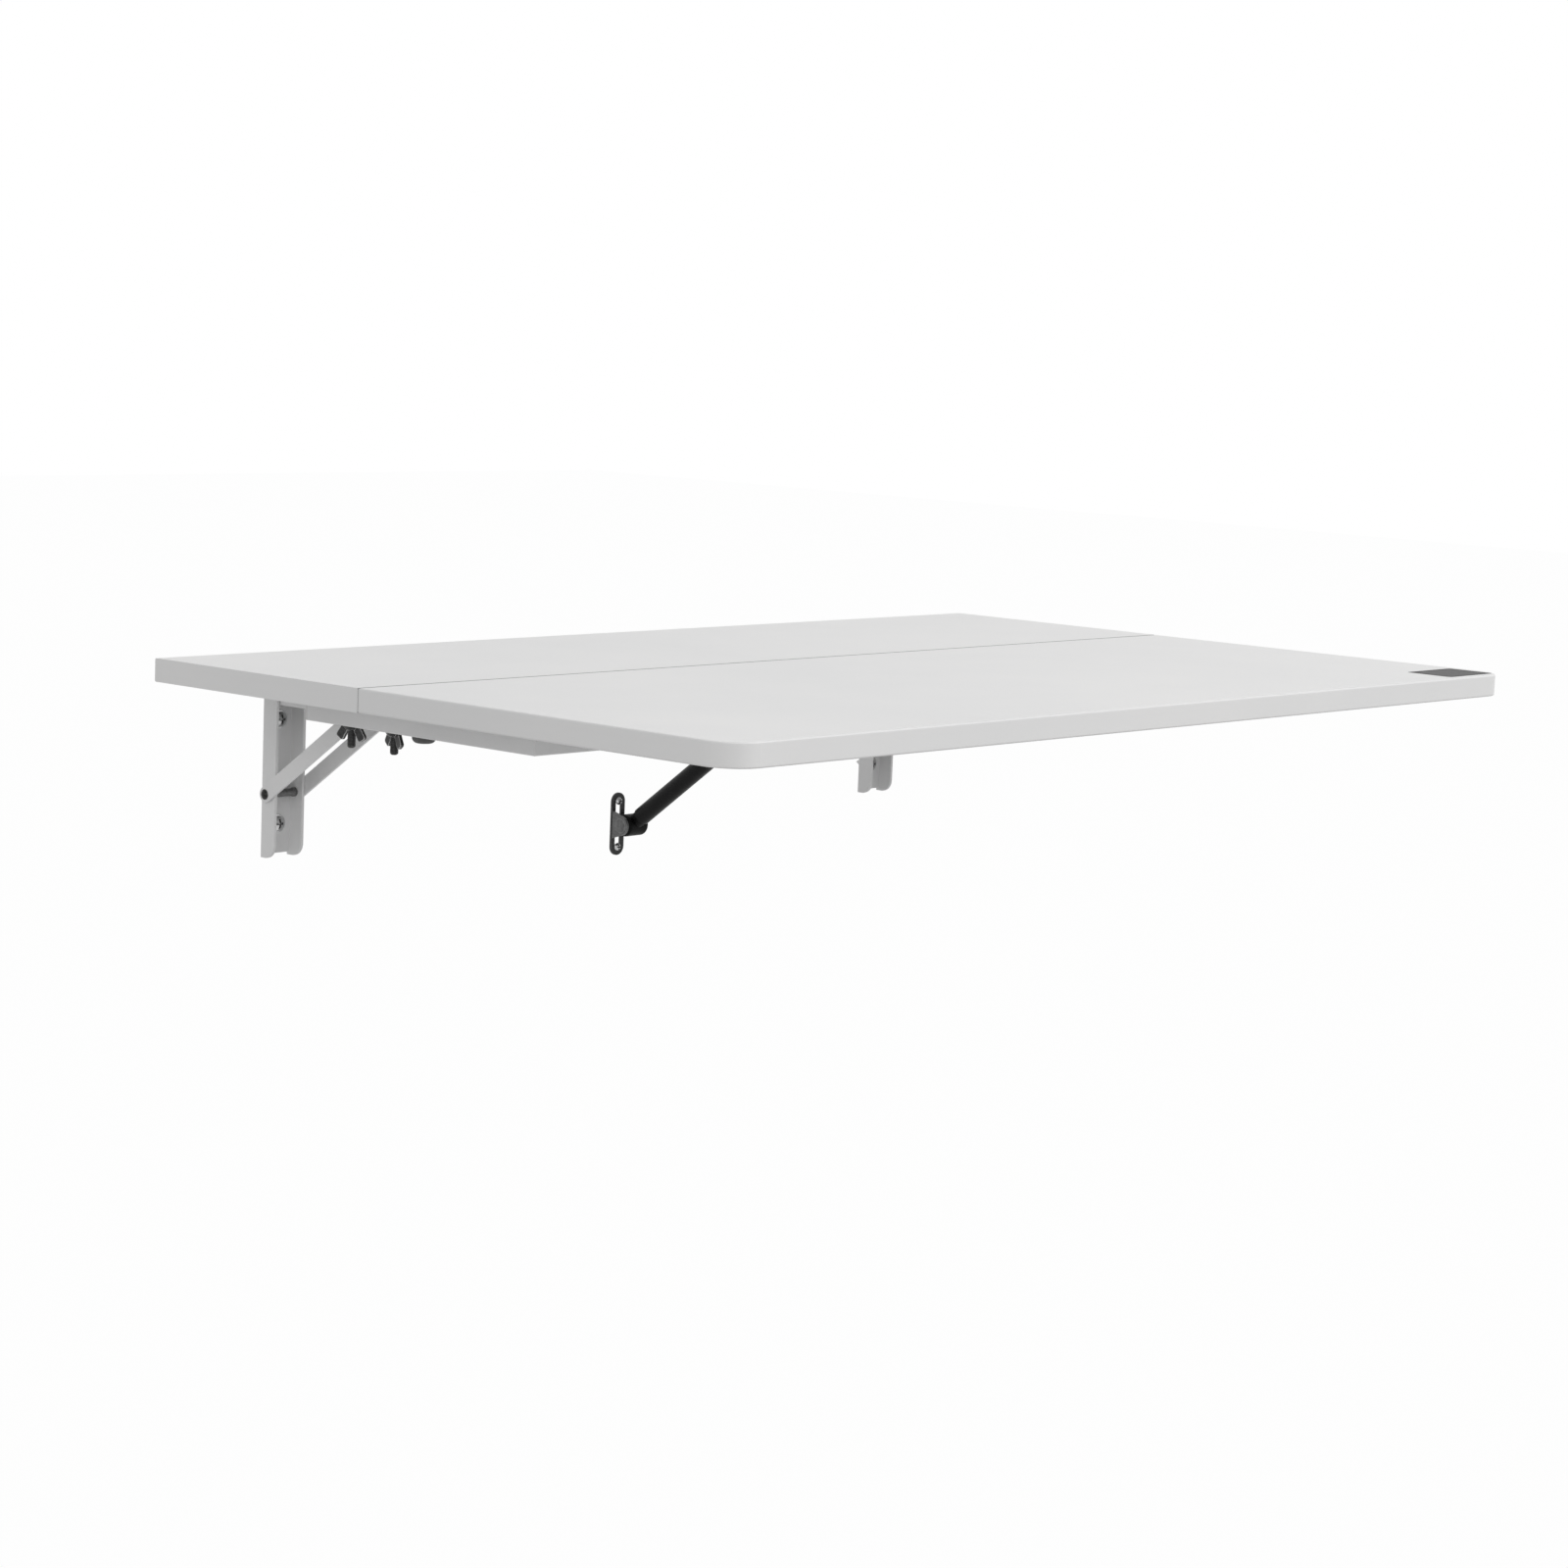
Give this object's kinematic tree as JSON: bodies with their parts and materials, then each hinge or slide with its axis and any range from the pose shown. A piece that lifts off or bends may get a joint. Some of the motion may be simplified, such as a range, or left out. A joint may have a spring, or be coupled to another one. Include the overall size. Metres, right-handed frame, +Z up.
{
  "type": "wall mounted drop leaf table",
  "caption": "White wall table whose two-board top folds down on bracket arms with sliding braces, stiffened by a tube frame with wing nuts and held by a strut.",
  "frame": {"origin": "centre of the four rail screws on the wall plane", "axes": "+X to the right seen from the room, +Y into the wall, +Z up"},
  "size_m": [0.8, 0.512, 0.1618],
  "materials": {
    "white_board": "satin white laminate",
    "white_steel": "satin white powder coat",
    "white_plastic": "matte",
    "grey_rubber": "matte",
    "dark_steel": "blackened",
    "strut_steel": "dark zinc plated",
    "bright_steel": "zinc plated",
    "black_plastic": "satin",
    "black_paint": "satin black paint",
    "dark_plate": "matte"
  },
  "bodies": {
    "wall_mount": {"left_wall_rail": "white_steel", "right_wall_rail": "white_steel", "rail_wall_screws": "bright_steel", "rail_screw_washers": "bright_steel", "left_fold_rivet": "dark_steel", "right_fold_rivet": "dark_steel", "left_brace_bolt": "dark_steel", "right_brace_bolt": "dark_steel", "strut_wall_plate": "strut_steel", "strut_wall_stud": "strut_steel", "strut_plate_screws": "bright_steel"},
    "left_braces": {"left_outer_brace": "white_steel", "left_inner_brace": "white_steel", "left_brace_rivets": "bright_steel"},
    "right_braces": {"right_outer_brace": "white_steel", "right_inner_brace": "white_steel", "right_brace_rivets": "bright_steel"},
    "left_slider": {"left_slide_pin": "bright_steel"},
    "right_slider": {"right_slide_pin": "bright_steel"},
    "left_rear_nut": {"left_rear_wing_nut": "dark_steel"},
    "left_front_nut": {"left_front_wing_nut": "dark_steel"},
    "right_rear_nut": {"right_rear_wing_nut": "dark_steel"},
    "right_front_nut": {"right_front_wing_nut": "dark_steel"},
    "strut_barrel": {"strut_foot_barrel": "black_plastic", "strut_cylinder": "black_paint", "strut_gland": "black_plastic"},
    "strut_piston_rod": {"strut_rod": "bright_steel", "strut_piston": "black_plastic", "strut_head_barrel": "black_plastic"},
    "folding_top": {"back_board": "white_board", "front_board": "white_board", "left_arm": "white_steel", "right_arm": "white_steel", "left_frame_tube": "white_steel", "right_frame_tube": "white_steel", "front_frame_tube": "white_steel", "left_tube_cap": "white_plastic", "right_tube_cap": "white_plastic", "left_wall_bumper": "grey_rubber", "right_wall_bumper": "grey_rubber", "left_wing_studs": "dark_steel", "right_wing_studs": "dark_steel", "strut_bracket": "strut_steel", "strut_head_stud": "strut_steel", "strut_bracket_screws": "bright_steel", "left_arm_screws": "bright_steel", "right_arm_screws": "bright_steel", "frame_screws": "bright_steel", "board_inserts": "bright_steel", "corner_plate": "dark_plate"}
  },
  "joints": [
    {"name": "top_fold", "type": "hinge", "parent": "wall_mount", "child": "folding_top", "pos_m": [0, -0.011, 0.054], "axis": [1, 0, 0], "range_deg": [0, 80]},
    {"name": "left_brace_swing", "type": "hinge", "parent": "wall_mount", "child": "left_braces", "pos_m": [-0.2985, -0.0066, -0.0137], "axis": [1, 0, 0], "range_deg": [0, 109]},
    {"name": "left_pin_slide", "type": "slide", "parent": "folding_top", "child": "left_slider", "axis": [0, -1, 0], "range_m": [0, 0.0903]},
    {"name": "left_rear_nut_spin", "type": "hinge", "parent": "folding_top", "child": "left_rear_nut", "pos_m": [-0.33, -0.109, 0.041], "axis": [0, 0, 1], "continuous": true},
    {"name": "left_front_nut_spin", "type": "hinge", "parent": "folding_top", "child": "left_front_nut", "pos_m": [-0.33, -0.149, 0.041], "axis": [0, 0, 1], "continuous": true},
    {"name": "right_brace_swing", "type": "hinge", "parent": "wall_mount", "child": "right_braces", "pos_m": [0.2985, -0.0066, -0.0137], "axis": [1, 0, 0], "range_deg": [0, 109]},
    {"name": "right_pin_slide", "type": "slide", "parent": "folding_top", "child": "right_slider", "axis": [0, -1, 0], "range_m": [0, 0.0903]},
    {"name": "right_rear_nut_spin", "type": "hinge", "parent": "folding_top", "child": "right_rear_nut", "pos_m": [0.33, -0.109, 0.041], "axis": [0, 0, 1], "continuous": true},
    {"name": "right_front_nut_spin", "type": "hinge", "parent": "folding_top", "child": "right_front_nut", "pos_m": [0.33, -0.149, 0.041], "axis": [0, 0, 1], "continuous": true},
    {"name": "strut_swing", "type": "hinge", "parent": "wall_mount", "child": "strut_barrel", "pos_m": [0.0273, -0.01, -0.06], "axis": [1, 0, 0], "range_deg": [0, 121]},
    {"name": "strut_stroke", "type": "slide", "parent": "strut_barrel", "child": "strut_piston_rod", "axis": [0, -0.7994, 0.6009], "range_m": [-0.038, 0], "stiffness_N_per_m": 60, "springref_m": 0.1}
  ],
  "couplings": [
    {"joint": "left_brace_swing", "follows": "top_fold", "ratio": 1.3538},
    {"joint": "left_pin_slide", "follows": "top_fold", "m_per_rad": 0.064583},
    {"joint": "right_brace_swing", "follows": "top_fold", "ratio": 1.3538},
    {"joint": "right_pin_slide", "follows": "top_fold", "m_per_rad": 0.064583},
    {"joint": "strut_swing", "follows": "top_fold", "ratio": 1.5112}
  ]
}
